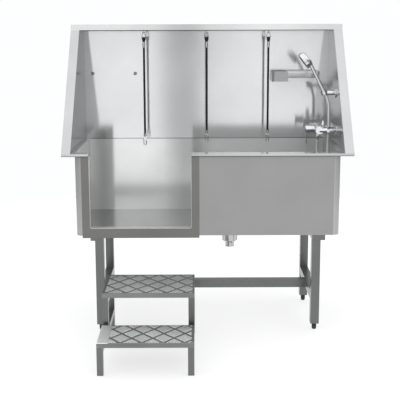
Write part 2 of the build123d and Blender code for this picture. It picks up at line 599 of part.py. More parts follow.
with BuildPart() as mixer_knob:
    knob_section = Plane(origin=(KNOB_X, KNOB_Y, 0), x_dir=(1, 0, 0), z_dir=(0, -1, 0))
    with BuildSketch(knob_section) as knob_half:
        with BuildLine():
            Polyline((0, KNOB_Z[0]), (KNOB_R, KNOB_Z[0]), (KNOB_R, KNOB_Z[0] + 4),
                     (KNOB_TIP_R + 1, KNOB_Z[1] - 2), (KNOB_TIP_R, KNOB_Z[1]), (0, KNOB_Z[1]), close=True)
        make_face()
    revolve(knob_half.sketch, axis=Axis((KNOB_X, KNOB_Y, 0), (0, 0, 1)))
    with BuildSketch(Plane.XY.offset(KNOB_Z[0])) as flutes:
        with Locations((KNOB_X, KNOB_Y)):
            with PolarLocations(KNOB_R + 1.5, 6, start_angle=30):
                Circle(3)
    extrude(flutes.sketch, amount=KNOB_Z[1] - KNOB_Z[0], mode=Mode.SUBTRACT)
    rod((KNOB_X, KNOB_Y, KNOB_Z[0] - 1), (0, 0, 1), KNOB_STEM_R + RUN_FIT, 16, mode=Mode.SUBTRACT)
save(mixer_knob, "mixer_knob")

UNION_START = ARM_END
UNION_END = GUARD_HALF + SHEET + 24
BACKNUT = 8.0
THREAD_RELIEF_R = 9.4     # the neck that the backnut clamps on
THREAD_START = GUARD_HALF + SHEET + BACKNUT + 1
with BuildPart() as inlet_unions:
    for y in INLET_Y:
        with BuildSketch(Plane(origin=(0, y, MIXER_Z))) as union_half:
            with BuildLine():
                Polyline((UNION_START, 0), (UNION_START, 11), (GUARD_HALF - 9, 11),
                         (GUARD_HALF - 3, 27), (GUARD_HALF, 27), (GUARD_HALF, THREAD_RELIEF_R),
                         (THREAD_START, THREAD_RELIEF_R), (THREAD_START, INLET_R),
                         (UNION_END, INLET_R), (UNION_END, 0), close=True)
            make_face()
        revolve(union_half.sketch, axis=Axis((0, y, MIXER_Z), (1, 0, 0)))
        hexagon_bar((UNION_START, y, MIXER_Z), (1, 0, 0), 27, 13)
        rod((UNION_END, y, MIXER_Z), (-1, 0, 0), 7, 60, mode=Mode.SUBTRACT)
save(inlet_unions, "inlet_unions")

with BuildPart() as inlet_backnuts:
    for y in INLET_Y:
        hexagon_bar((GUARD_HALF + SHEET, y, MIXER_Z), (1, 0, 0), 30, BACKNUT)
        rod((GUARD_HALF, y, MIXER_Z), (1, 0, 0), THREAD_RELIEF_R + 0.1, 12, mode=Mode.SUBTRACT)
save(inlet_backnuts, "inlet_backnuts")

# ---------------------------------------------------------------- hand shower
# The handle leans towards the tub. Everything on it is laid out along its own axis, from the
# lower end of the hose nut upwards.
HANDSET_END = Vector(547.5, back(309.0), 1028.0)
HANDSET_LEAN = 26.8       # degrees from the vertical, towards -X
NUT_LENGTH = 30.0
HANDLE_LENGTH = 178.0
HEAD_CENTRE = Vector(452.0, back(309.0), 1191.0)
HEAD_R = 38.0
HEAD_FACING = (-0.8, 0, -0.6)
HEAD_THICK = 30.0
CRADLE_R = 16.5
HOLDER_ARM_R = 11.0
HOLDER_PLATE_R = 22.0

lean = radians(HANDSET_LEAN)
handle_up = Vector(-sin(lean), 0, cos(lean))
handset_plane = Plane(origin=HANDSET_END, x_dir=(cos(lean), 0, sin(lean)), z_dir=(0, -1, 0))
handset_axis = Axis(HANDSET_END, handle_up)
head_plane = Plane(origin=HEAD_CENTRE, x_dir=(0.6, 0, -0.8), z_dir=(0, 1, 0))
head_axis = Axis(HEAD_CENTRE, HEAD_FACING)
FACE_R = 33.0

with BuildPart() as handset_body:
    with BuildSketch(handset_plane) as handle_half:
        with BuildLine():
            Line((0, NUT_LENGTH), (10, NUT_LENGTH))
            Spline((10, NUT_LENGTH), (8.6, 50), (7.8, 90), (8.2, 140), (10.5, HANDLE_LENGTH))
            Polyline((10.5, HANDLE_LENGTH), (0, HANDLE_LENGTH), (0, NUT_LENGTH))
        make_face()
    revolve(handle_half.sketch, axis=handset_axis)
    with BuildSketch(head_plane) as head_half:
        front = HEAD_THICK / 2
        with BuildLine():
            Polyline((0, -front), (20, -front))
            Spline((20, -front), (33, -front + 4), (HEAD_R, -front + 14))
            Polyline((HEAD_R, -front + 14), (HEAD_R, front - 2), (HEAD_R - 2, front),
                     (FACE_R + 0.1, front), (FACE_R + 0.1, front - 4), (0, front - 4), (0, -front))
        make_face()
    revolve(head_half.sketch, axis=head_axis)
save(handset_body, "handset_body")

with BuildPart() as handset_face:
    with BuildSketch(head_plane) as face_half:
        with BuildLine():
            Polyline((0, front - 4), (FACE_R, front - 4), (FACE_R, front - 0.5), (FACE_R - 3, front + 0.5),
                     (0, front + 1.5), close=True)
        make_face()
    revolve(face_half.sketch, axis=head_axis)
save(handset_face, "handset_face")

with BuildPart() as hose_nut_top:
    with BuildSketch(handset_plane) as nut_half:
        with BuildLine():
            Polyline((0, 0), (8.5, 0), (9, 3), (12, NUT_LENGTH - 4), (12, NUT_LENGTH), (0, NUT_LENGTH),
                     close=True)
        make_face()
    revolve(nut_half.sketch, axis=handset_axis)
save(hose_nut_top, "hose_nut_top")


def nut_radius(along):
    """Radius of the hose nut's cone at a distance from its lower end."""
    return 9 + 3 * (along - 3) / (NUT_LENGTH - 7)


CRADLE_SPAN = (6.0, 24.0)
with BuildPart() as shower_holder:
    with BuildSketch(handset_plane) as cradle_half:
        with BuildLine():
            Polyline((nut_radius(CRADLE_SPAN[0]) + EASY_FIT, CRADLE_SPAN[0]),
                     (CRADLE_R - 2, CRADLE_SPAN[0]), (CRADLE_R, CRADLE_SPAN[0] + 3),
                     (CRADLE_R, CRADLE_SPAN[1]),
                     (nut_radius(CRADLE_SPAN[1]) + EASY_FIT, CRADLE_SPAN[1]), close=True)
        make_face()
    revolve(cradle_half.sketch, axis=handset_axis)
    cradle_centre = HANDSET_END + handle_up * 15
    arm_start = cradle_centre + Vector(CRADLE_R - 4, 0, 0)
    rod(arm_start, (1, 0, 0), HOLDER_ARM_R, GUARD_HALF - 3 - arm_start.X)
    rod((GUARD_HALF - 5, cradle_centre.Y, cradle_centre.Z), (1, 0, 0), HOLDER_PLATE_R, 5)
    with BuildSketch(handset_plane) as bore_half:
        with BuildLine():
            Polyline((0, -5), (nut_radius(-5) + EASY_FIT, -5), (nut_radius(40) + EASY_FIT, 40), (0, 40),
                     close=True)
        make_face()
    revolve(bore_half.sketch, axis=handset_axis, mode=Mode.SUBTRACT)
save(shower_holder, "shower_holder")

# ---------------------------------------------------------------- hose
# Points of the hose's route, from the hand shower's nut to the mixer's outlet. It hangs in a
# long loop, whose lower part lies on the basin's floor.
FLOOR_LINE = BASIN_FLOOR + HOSE_D / 2 + 0.6
HOSE_ROUTE = [
    tuple(HANDSET_END),
    tuple(HANDSET_END - handle_up * 18),
    (563.0, back(309.0), 985.0),
    (564.0, back(309.0), 951.0),
    (562.5, back(308.5), 870.0),
    (561.0, back(306.0), 775.0),
    (559.0, back(300.0), 685.0),
    (557.0, back(286.0), 605.0),
    (555.0, back(258.0), 535.0),
    (552.0, back(214.0), 480.0),
    (546.0, back(160.0), FLOOR_LINE + 3),
    (527.0, back(102.0), FLOOR_LINE),
    (484.0, back(60.0), FLOOR_LINE),
    (424.0, back(52.0), FLOOR_LINE),
    (374.0, back(88.0), FLOOR_LINE),
    (360.0, back(148.0), FLOOR_LINE),
    (376.0, back(208.0), FLOOR_LINE),
    (412.0, back(258.0), FLOOR_LINE),
    (452.0, back(302.0), FLOOR_LINE + 6),
    (486.0, back(334.0), 481.0),
    (506.0, back(349.0), 532.0),
    (514.0, back(353.5), 605.0),
    (MIXER_X - 1, back(355.2), 695.0),
    (MIXER_X, MIXER_Y, 780.0),
    (MIXER_X, MIXER_Y, HOSE_BOTTOM_Z),
]


def cord_radii(points, name):
    """Largest arc radius at each corner of a route, from its two runs and its turn."""
    radii = []
    steps = [Vector(b) - Vector(a) for a, b in zip(points, points[1:])]
    for first, second in zip(steps, steps[1:]):
        turn = radians(first.get_angle(second))
        radii.append(0.45 * min(first.length, second.length) / tan(turn / 2))
    print(name, "radii:", [round(r) for r in radii], "runs:", [round(s.length) for s in steps])
    return radii


with BuildPart() as shower_hose:
    with BuildLine() as hose_line:
        FilletPolyline(*HOSE_ROUTE, radius=cord_radii(HOSE_ROUTE, "hose"))
    hose_path = hose_line.wire()
    with BuildSketch(Plane(origin=hose_path @ 0, z_dir=hose_path % 0)):
        Circle(HOSE_D / 2)
    sweep(path=hose_path)
save(shower_hose, "shower_hose")
hose_length = hose_path.length
print("hose length", round(hose_length), "volume ratio",
      round(shower_hose.part.volume / (pi * (HOSE_D / 2) ** 2 * hose_length), 4))

with BuildPart() as hose_nut_bottom:
    hexagon_bar((MIXER_X, MIXER_Y, OUTLET_Z), (0, 0, -1), 22, 10)
    rod((MIXER_X, MIXER_Y, OUTLET_Z), (0, 0, -1), 9, OUTLET_Z - HOSE_BOTTOM_Z)
save(hose_nut_bottom, "hose_nut_bottom")

# ---------------------------------------------------------------- tethers
TETHER_X = {"left": -295.0, "middle": 0.0, "right": 290.0}
TETHER_Y = LEDGE_FRONT + LEDGE_RETURN / 2
CORD_TOP = 1246.0
CORD_LENGTH = {"left": 404.0, "middle": 390.0, "right": 390.0}
CORD_R = 5.0
EYE_Z = LIP_BOTTOM - 8.0      # the axis that each tether swings about
EYE_PLATE = 2.5
EYE_REACH = 5.5               # metal round the eye's hole
LOOP_WIRE = 1.6               # radius of the wire of each tether's top loop
LOOP_TOP_HALF = 4.5
LOOP_FOOT_HALF = 9.5
LOOP_FOOT_Z = 1291.0
STRAP_TOP = LOOP_FOOT_Z + 3.0
STRAP_END = 1269.0
STRAP_THICK = 7.0
FERRULE_R = 6.0
FERRULE = 14.0

# Each eye is a small plate on edge, so that the loop through its hole lies across the tub.
with BuildPart() as tether_eyes:
    for x in TETHER_X.values():
        block((x - 11, x + 11), (TETHER_Y - 6, TETHER_Y + 6), (LIP_BOTTOM - SHEET, LIP_BOTTOM))
        block((x - EYE_PLATE / 2, x + EYE_PLATE / 2), (TETHER_Y - EYE_REACH, TETHER_Y + EYE_REACH),
              (EYE_Z, LIP_BOTTOM))
        rod((x - EYE_PLATE / 2, TETHER_Y, EYE_Z), (1, 0, 0), EYE_REACH, EYE_PLATE)
        rod((x - EYE_PLATE, TETHER_Y, EYE_Z), (1, 0, 0), LOOP_WIRE + RUN_FIT, 2 * EYE_PLATE,
            mode=Mode.SUBTRACT)
save(tether_eyes, "tether_eyes")


def round_section(x, points):
    """Revolve a profile of (radius, z) points about the tether's upright axis."""
    plane = Plane(origin=(x, TETHER_Y, 0), x_dir=(1, 0, 0), z_dir=(0, -1, 0))
    with BuildSketch(plane) as half:
        with BuildLine():
            Polyline(*points, close=True)
        make_face()
    revolve(half.sketch, axis=Axis((x, TETHER_Y, 0), (0, 0, 1)))


for name, x in TETHER_X.items():
    cord_bottom = CORD_TOP - CORD_LENGTH[name]
    ferrule_z = cord_bottom - FERRULE
    with BuildPart() as tether_ends:
        loop_corners = [(x - LOOP_TOP_HALF, TETHER_Y, EYE_Z), (x + LOOP_TOP_HALF, TETHER_Y, EYE_Z),
                        (x + LOOP_FOOT_HALF, TETHER_Y, LOOP_FOOT_Z),
                        (x - LOOP_FOOT_HALF, TETHER_Y, LOOP_FOOT_Z)]
        with BuildLine() as loop_line:
            FilletPolyline(*loop_corners, radius=2.2, close=True)
        loop_path = loop_line.wire()
        with BuildSketch(Plane(origin=loop_path @ 0, z_dir=loop_path % 0)) as loop_wire:
            Circle(LOOP_WIRE)
        sweep(loop_wire.sketch, path=loop_path)
        with BuildSketch(Plane.XZ.offset(-TETHER_Y)) as strap:
            with BuildLine():
                Polyline((x - 8.5, STRAP_TOP), (x + 8.5, STRAP_TOP), (x + 8.5, STRAP_TOP - 8),
                         (x + 4, STRAP_END), (x - 4, STRAP_END), (x - 8.5, STRAP_TOP - 8), close=True)
            make_face()
        extrude(strap.sketch, amount=STRAP_THICK / 2, both=True)
        round_section(x, [(0, STRAP_END + 2), (FERRULE_R - 1, STRAP_END + 2), (FERRULE_R, STRAP_END),
                          (FERRULE_R, CORD_TOP), (0, CORD_TOP)])
        round_section(x, [(0, cord_bottom), (6.5, cord_bottom), (6.5, ferrule_z + 2), (5, ferrule_z),
                          (2 + RUN_FIT, ferrule_z), (2 + RUN_FIT, ferrule_z + 3), (3.8, ferrule_z + 3),
                          (3.8, ferrule_z + 7.6), (0, ferrule_z + 7.6)])
    save(tether_ends, f"tether_{name}_ends")

    with BuildPart() as tether_cord:
        rod((x, TETHER_Y, CORD_TOP), (0, 0, -1), CORD_R, CORD_LENGTH[name])
    save(tether_cord, f"tether_{name}_cord")

    bolt_x = x - 6.0
    hook_x = x + 6.0
    body_z = (ferrule_z - 22, ferrule_z - 4)
    hook_z = ferrule_z - 35
    tip_z = ferrule_z - 30.4
    with BuildPart() as snap:
        block((x - 9.5, x + 9.5), (TETHER_Y - 4.5, TETHER_Y + 4.5), body_z)
        fillet(snap.edges(), 1.6)
        round_section(x, [(0, ferrule_z + 7.3), (3.5, ferrule_z + 7.3), (3.5, ferrule_z + 3.3),
                          (2, ferrule_z + 3.3), (2, ferrule_z - 1), (5, ferrule_z - 5),
                          (0, ferrule_z - 5)])
        with BuildLine() as hook_line:
            Line((hook_x, TETHER_Y, body_z[0] + 3), (hook_x, TETHER_Y, hook_z))
            ThreePointArc((hook_x, TETHER_Y, hook_z), (x, TETHER_Y, hook_z - 6), (bolt_x, TETHER_Y, hook_z))
            Line((bolt_x, TETHER_Y, hook_z), (bolt_x, TETHER_Y, tip_z))
        hook_path = hook_line.wire()
        with BuildSketch(Plane(origin=hook_path @ 0, z_dir=hook_path % 0)) as hook_wire:
            Circle(2.4)
        sweep(hook_wire.sketch, path=hook_path)
        rod((bolt_x, TETHER_Y, ferrule_z - 28), (0, 0, 1), 2 + RUN_FIT, 20, mode=Mode.SUBTRACT)
        block((bolt_x - 1.3, bolt_x + 1.3), (TETHER_Y - 10, TETHER_Y),
              (ferrule_z - 20.5, ferrule_z - 10), mode=Mode.SUBTRACT)
    save(snap, f"tether_{name}_snap")

    with BuildPart() as snap_bolt:
        rod((bolt_x, TETHER_Y, ferrule_z - 30), (0, 0, 1), 2, 14)
        rod((bolt_x, TETHER_Y, ferrule_z - 18.5), (0, -1, 0), 1, 6.5)
        rod((bolt_x, TETHER_Y - 6, ferrule_z - 18.5), (0, -1, 0), 2.5, 2)
    save(snap_bolt, f"tether_{name}_bolt")

print("written:", len(os.listdir("parts")), "nodes")
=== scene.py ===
import json
from math import cos, pi, radians, sin, tau

import bmesh
import bpy
from mathutils import Matrix, Vector


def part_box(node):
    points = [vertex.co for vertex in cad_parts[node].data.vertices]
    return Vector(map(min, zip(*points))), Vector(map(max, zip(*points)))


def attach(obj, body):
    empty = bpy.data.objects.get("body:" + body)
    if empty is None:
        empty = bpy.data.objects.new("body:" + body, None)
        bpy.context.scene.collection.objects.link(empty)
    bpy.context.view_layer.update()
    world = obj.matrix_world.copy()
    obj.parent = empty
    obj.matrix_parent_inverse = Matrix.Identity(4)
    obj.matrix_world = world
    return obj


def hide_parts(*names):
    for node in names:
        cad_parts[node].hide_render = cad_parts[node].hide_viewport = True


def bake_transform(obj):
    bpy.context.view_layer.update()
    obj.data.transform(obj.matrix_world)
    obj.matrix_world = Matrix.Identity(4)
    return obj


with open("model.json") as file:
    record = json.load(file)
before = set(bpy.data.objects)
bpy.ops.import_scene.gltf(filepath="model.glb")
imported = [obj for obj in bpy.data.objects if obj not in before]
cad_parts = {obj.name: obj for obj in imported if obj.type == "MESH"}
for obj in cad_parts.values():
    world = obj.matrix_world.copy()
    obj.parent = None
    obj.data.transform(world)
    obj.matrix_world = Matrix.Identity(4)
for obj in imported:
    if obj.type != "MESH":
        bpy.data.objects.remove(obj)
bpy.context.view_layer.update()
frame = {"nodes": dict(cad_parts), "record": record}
nodes = frame["nodes"]
scene = bpy.context.scene


# ---------------------------------------------------------------- camera
CAMERA_PLACE = Vector((-0.042, -3.901, 1.345))
CAMERA_YAW = 0.002                # radians, as the next two
CAMERA_PITCH = -0.191
CAMERA_ROLL = -0.003
CAMERA_LENS = 81.0                # millimetres
CAMERA_REACH = 100.0


def add_camera():
    """A camera in front of the tub, a little above its rim and looking down."""
    ahead = Vector((sin(CAMERA_YAW) * cos(CAMERA_PITCH), cos(CAMERA_YAW) * cos(CAMERA_PITCH),
                    sin(CAMERA_PITCH)))
    right = Vector((cos(CAMERA_YAW), -sin(CAMERA_YAW), 0))
    up = right.cross(ahead)
    right, up = (right * cos(CAMERA_ROLL) + up * sin(CAMERA_ROLL),
                 up * cos(CAMERA_ROLL) - right * sin(CAMERA_ROLL))
    data = bpy.data.cameras.new("camera")
    data.lens = CAMERA_LENS
    data.clip_end = CAMERA_REACH
    camera = bpy.data.objects.new("camera", data)
    turn = Matrix((right, up, -ahead)).transposed()
    camera.matrix_world = Matrix.Translation(CAMERA_PLACE) @ turn.to_4x4()
    scene.collection.objects.link(camera)
    scene.camera = camera


# ---------------------------------------------------------------- meshes
def mesh_from(name, build, smooth=True):
    """A new object whose mesh is filled by build(bm)."""
    bm = bmesh.new()
    build(bm)
    bmesh.ops.recalc_face_normals(bm, faces=bm.faces)
    mesh = bpy.data.meshes.new(name)
    bm.to_mesh(mesh)
    bm.free()
    for face in mesh.polygons:
        face.use_smooth = smooth
    piece = bpy.data.objects.new(name, mesh)
    scene.collection.objects.link(piece)
    return piece


def bridge_rings(bm, rings):
    """Quads between rings of vertices, with a flat cap at each end."""
    for low, high in zip(rings, rings[1:]):
        count = len(low)
        for i in range(count):
            j = (i + 1) % count
            bm.faces.new((low[i], low[j], high[j], high[i]))
    bm.faces.new(list(reversed(rings[0])))
    bm.faces.new(rings[-1])


def frames_along(points):
    """For each point of a line: the point, and two directions square to the line, without twist."""
    result = []
    side = None
    for i, point in enumerate(points):
        ahead = (points[min(i + 1, len(points) - 1)] - points[max(i - 1, 0)]).normalized()
        if side is None:
            side = ahead.orthogonal().normalized()
        side = (side - ahead * side.dot(ahead)).normalized()
        result.append((point, side, ahead.cross(side)))
    return result


def tube_along(name, points, radius_at, sides):
    """A tube along points; radius_at(distance, angle) gives its surface."""
    def build(bm):
        rings = []
        travelled = 0.0
        last = points[0]
        for point, side, other in frames_along(points):
            travelled += (point - last).length
            last = point
            ring = []
            for k in range(sides):
                angle = tau * k / sides
                out = side * cos(angle) + other * sin(angle)
                ring.append(bm.verts.new(point + out * radius_at(travelled, angle)))
            rings.append(ring)
        bridge_rings(bm, rings)
    return mesh_from(name, build)


def resampled(points, step):
    """The same line with points at equal steps."""
    result = [points[0].copy()]
    carried = 0.0
    for a, b in zip(points, points[1:]):
        length = (b - a).length
        at = step - carried
        while at <= length:
            result.append(a.lerp(b, at / length))
            at += step
        carried = length - (at - step)
    if (result[-1] - points[-1]).length > step / 4:
        result.append(points[-1].copy())
    return result


ROUTE_RESOLUTION = 24
ROUTE_ORDER = 3


def spline_points(route):
    """Points along the smooth line that a route's points control."""
    curve = bpy.data.curves.new("route", "CURVE")
    curve.dimensions = "3D"
    curve.resolution_u = ROUTE_RESOLUTION
    spline = curve.splines.new("NURBS")
    spline.points.add(len(route) - 1)
    for point, place in zip(spline.points, route):
        point.co = (*place, 1.0)
    spline.order_u = ROUTE_ORDER
    spline.use_endpoint_u = True
    carrier = bpy.data.objects.new("route", curve)
    line = bpy.data.meshes.new_from_object(carrier)
    points = [v.co.copy() for v in line.vertices]
    bpy.data.objects.remove(carrier)
    bpy.data.curves.remove(curve)
    bpy.data.meshes.remove(line)
    return points


# ---------------------------------------------------------------- materials
NOISE_LOW, NOISE_HIGH = 0.3, 0.7  # nearly all of a noise texture lies between these
EVEN = (1, 1, 1)                  # a noise that is not stretched
BLUR_ALONG = (0.0, 0.25, 1.0)     # brushing runs across this, so reflections smear along it
SHARP = 0.0004                    # a change of tone well within a sheet's thickness
# Steel has clouds in its colour and scratches in its gloss and relief.
CLOUD_SCALE = 5.0
CLOUD_DETAIL = 4.0
SCRATCH_DETAIL = 3.0
SCRATCH_GLOSS = (0.95, 1.05)      # range of the roughness, as shares of its value
SCRATCH_BUMP = 0.012
SCRATCH_DEPTH = 0.0002
# Chrome has faint marks.
MARK_SCALE = 60.0
MARK_DETAIL = 5.0
MARK_TONES = (0.96, 1.03)         # range of the colour, as shares of its value
MARK_GLOSS = (0.7, 1.5)
# Plastic, rubber and fibre have a fine texture.
TEXTURE_DETAIL = 3.0
TEXTURE_TONES = (0.8, 1.25)
TEXTURE_GLOSS = (0.9, 1.1)
TEXTURE_BUMP = 0.3


def new_material(name):
    """A material with its node tree and its shader."""
    material = bpy.data.materials.new(name)
    material.use_nodes = True
    tree = material.node_tree
    return material, tree, tree.nodes["Principled BSDF"]


def noise(tree, stretch, scale, detail):
    """Noise in the object's own coordinates, stretched per axis."""
    coordinates = tree.nodes.new("ShaderNodeTexCoord")
    mapping = tree.nodes.new("ShaderNodeMapping")
    mapping.inputs["Scale"].default_value = stretch
    texture = tree.nodes.new("ShaderNodeTexNoise")
    texture.inputs["Scale"].default_value = scale
    texture.inputs["Detail"].default_value = detail
    tree.links.new(coordinates.outputs["Object"], mapping.inputs["Vector"])
    tree.links.new(mapping.outputs["Vector"], texture.inputs["Vector"])
    return texture.outputs["Fac"]


def roughened(tree, shader, value, roughness, shares):
    """Vary the roughness over a range, by a noise value."""
    node = tree.nodes.new("ShaderNodeMapRange")
    node.inputs["From Min"].default_value = NOISE_LOW
    node.inputs["From Max"].default_value = NOISE_HIGH
    node.inputs["To Min"].default_value = roughness * shares[0]
    node.inputs["To Max"].default_value = roughness * shares[1]
    tree.links.new(value, node.inputs["Value"])
    tree.links.new(node.outputs["Result"], shader.inputs["Roughness"])


def tinted(tree, shader, value, colour, shares):
    """Vary the colour between a darker and a lighter one, by a noise value."""
    ramp = tree.nodes.new("ShaderNodeValToRGB")
    stops = ramp.color_ramp.elements
    for stop, position, share in zip(stops, (NOISE_LOW, NOISE_HIGH), shares):
        stop.position = position
        stop.color = (*shaded(colour, share), 1)
    tree.links.new(value, ramp.inputs["Fac"])
    tree.links.new(ramp.outputs["Color"], shader.inputs["Base Color"])


def bumped(tree, shader, value, strength, depth):
    """Relief from a noise value."""
    bump = tree.nodes.new("ShaderNodeBump")
    bump.inputs["Strength"].default_value = strength
    bump.inputs["Distance"].default_value = depth
    tree.links.new(value, bump.inputs["Height"])
    tree.links.new(bump.outputs["Normal"], shader.inputs["Normal"])


def shaded(colour, factor):
    """A colour scaled and kept within range."""
    return tuple(min(1.0, c * factor) for c in colour)


def steel(name, colour, roughness, grain, brushed, contrast, mirror, edge=1.0):
    """Brushed metal. grain stretches its scratches per axis, mirror is the share of its light
    that is not scattered, and edge is how bright it gets at a glancing angle."""
    material, tree, shader = new_material(name)
    shader.inputs["Metallic"].default_value = mirror
    shader.inputs["Anisotropic"].default_value = brushed
    shader.inputs["Specular Tint"].default_value = (edge, edge, edge, 1)
    tangent = tree.nodes.new("ShaderNodeCombineXYZ")
    for axis, value in zip("XYZ", BLUR_ALONG):
        tangent.inputs[axis].default_value = value
    tree.links.new(tangent.outputs["Vector"], shader.inputs["Tangent"])
    scratches = noise(tree, grain, 1.0, SCRATCH_DETAIL)
    clouds = noise(tree, EVEN, CLOUD_SCALE, CLOUD_DETAIL)
    tinted(tree, shader, clouds, colour, (1 - contrast, 1 + contrast))
    roughened(tree, shader, scratches, roughness, SCRATCH_GLOSS)
    bumped(tree, shader, scratches, SCRATCH_BUMP, SCRATCH_DEPTH)
    return material


def chrome(name, colour, roughness):
    """Bright plating with faint marks."""
    material, tree, shader = new_material(name)
    shader.inputs["Metallic"].default_value = 1.0
    marks = noise(tree, EVEN, MARK_SCALE, MARK_DETAIL)
    tinted(tree, shader, marks, colour, MARK_TONES)
    roughened(tree, shader, marks, roughness, MARK_GLOSS)
    return material


def matte(name, colour, roughness, scale, depth):
    """Plastic, rubber or fibre with a fine texture."""
    material, tree, shader = new_material(name)
    texture = noise(tree, EVEN, scale, TEXTURE_DETAIL)
    tinted(tree, shader, texture, colour, TEXTURE_TONES)
    roughened(tree, shader, texture, roughness, TEXTURE_GLOSS)
    bumped(tree, shader, texture, TEXTURE_BUMP, depth)
    return material


def toned(material, box, inside, outside, soft=SHARP):
    """Scale a material's colour: by inside within the box and by outside beyond it."""
    low, high = box
    tree = material.node_tree
    shader = tree.nodes["Principled BSDF"]
    node = tree.nodes.new
    link = tree.links.new
    offset = node("ShaderNodeVectorMath")
    offset.operation = "SUBTRACT"
    offset.inputs[1].default_value = [(a + b) / 2 for a, b in zip(low, high)]
    link(node("ShaderNodeTexCoord").outputs["Object"], offset.inputs[0])
    size = node("ShaderNodeVectorMath")
    size.operation = "ABSOLUTE"
    link(offset.outputs["Vector"], size.inputs[0])
    past = node("ShaderNodeVectorMath")
    past.operation = "SUBTRACT"
    past.inputs[1].default_value = [(b - a) / 2 for a, b in zip(low, high)]
    link(size.outputs["Vector"], past.inputs[0])
    split = node("ShaderNodeSeparateXYZ")
    link(past.outputs["Vector"], split.inputs["Vector"])
    furthest = split.outputs["X"]
    for axis in "YZ":
        largest = node("ShaderNodeMath")
        largest.operation = "MAXIMUM"
        link(furthest, largest.inputs[0])
        link(split.outputs[axis], largest.inputs[1])
        furthest = largest.outputs["Value"]
    share = node("ShaderNodeMapRange")
    share.inputs["From Min"].default_value = 0.0
    share.inputs["From Max"].default_value = soft
    share.inputs["To Min"].default_value = inside
    share.inputs["To Max"].default_value = outside
    link(furthest, share.inputs["Value"])
    scale = node("ShaderNodeVectorMath")
    scale.operation = "SCALE"
    link(shader.inputs["Base Color"].links[0].from_socket, scale.inputs[0])
    link(share.outputs["Result"], scale.inputs["Scale"])
    link(scale.outputs["Vector"], shader.inputs["Base Color"])


# ---------------------------------------------------------------- finishes
GRAIN_ACROSS = (6, 900, 900)
GRAIN_UP = (900, 900, 6)
GRAIN_FINE = (300, 300, 300)
GRAIN_CAST = (200, 200, 200)
TUB_COLOUR = (0.68, 0.685, 0.685)
SPLASH_COLOUR = (0.72, 0.725, 0.73)

STEELS = {
    # slot: colour, roughness, grain, brushed, contrast, mirror
    "tub_steel": (TUB_COLOUR, 0.10, GRAIN_ACROSS, 0.5, 0.06, 0.5),
    "front_steel": ((0.64, 0.64, 0.635), 0.25, GRAIN_ACROSS, 0.4, 0.04, 0.45),
    "surround_steel": ((0.175, 0.175, 0.165), 0.26, GRAIN_UP, 0.4, 0.05, 0.35),
    "splash_steel": (SPLASH_COLOUR, 0.10, GRAIN_ACROSS, 0.85, 0.05, 0.6),
    "frame_steel": ((0.165, 0.17, 0.17), 0.28, GRAIN_UP, 0.4, 0.05, 0.8),
    "tread_plate": ((0.235, 0.24, 0.24), 0.38, GRAIN_ACROSS, 0.0, 0.12, 0.8),
    "polished_steel": ((0.50, 0.51, 0.51), 0.16, GRAIN_ACROSS, 0.2, 0.06, 1.0),
    "bolt_steel": ((0.30, 0.30, 0.30), 0.35, GRAIN_FINE, 0.0, 0.06, 1.0),
    "brass": ((0.62, 0.46, 0.20), 0.3, GRAIN_CAST, 0.0, 0.06, 1.0),
}
CHROMES = {
    # slot: colour, roughness
    "chrome": ((0.66, 0.67, 0.68), 0.11),
    "nickel": ((0.66, 0.66, 0.64), 0.14),
}
MATTES = {
    # slot: colour, roughness, scale and depth of the texture
    "spray_face": ((0.16, 0.165, 0.17), 0.45, 800.0, 0.0002),
    "rubber_seal": ((0.02, 0.02, 0.02), 0.8, 500.0, 0.0003),
    "black_cord": ((0.006, 0.006, 0.007), 0.8, 900.0, 0.0003),
    "foot_plastic": ((0.018, 0.018, 0.020), 0.55, 600.0, 0.0002),
}
OWN_STEELS = {
    # nodes and pieces whose steel isn't their slot's: the same values, and for one the edge
    "splash_guard_left": (SPLASH_COLOUR, 0.20, GRAIN_ACROSS, 0.6, 0.05, 0.6, 0.7),
    "splash_guard_right": (SPLASH_COLOUR, 0.16, GRAIN_ACROSS, 0.6, 0.05, 0.6),
    # painted shade: darker copies of the tub steel for the basin's floor and the rims
    "basin_floor": (shaded(TUB_COLOUR, 0.50), 0.10, GRAIN_ACROSS, 0.5, 0.06, 0.5),
    "rim_left": (shaded(TUB_COLOUR, 0.80), 0.10, GRAIN_ACROSS, 0.5, 0.06, 0.5),
    "rim_right": (shaded(TUB_COLOUR, 0.76), 0.10, GRAIN_ACROSS, 0.5, 0.06, 0.5),
    # painted light: a lighter copy of the tub steel for the basin's back wall
    "back_wall": ((0.88, 0.885, 0.885), 0.12, GRAIN_ACROSS, 0.85, 0.05, 0.42),
    "soap_tray": ((0.80, 0.805, 0.81), 0.22, GRAIN_ACROSS, 0.3, 0.05, 0.35),
    "lower_tread": ((0.72, 0.725, 0.725), 0.34, GRAIN_ACROSS, 0.0, 0.12, 0.8),
    # painted highlight: the tread bars are painted much lighter than the plate they rise from, the
    # lower ones lighter still than the upper
    "upper_tread_bars": ((0.62, 0.625, 0.625), 0.32, GRAIN_ACROSS, 0.0, 0.10, 0.8),
    "lower_tread_bars": ((0.86, 0.865, 0.865), 0.32, GRAIN_ACROSS, 0.0, 0.10, 0.8),
    "shower_hose_wound": ((0.88, 0.885, 0.89), 0.18, GRAIN_UP, 0.0, 0.03, 0.6),
    "door_hem": ((0.62, 0.625, 0.625), 0.30, GRAIN_UP, 0.0, 0.04, 0.5),
}
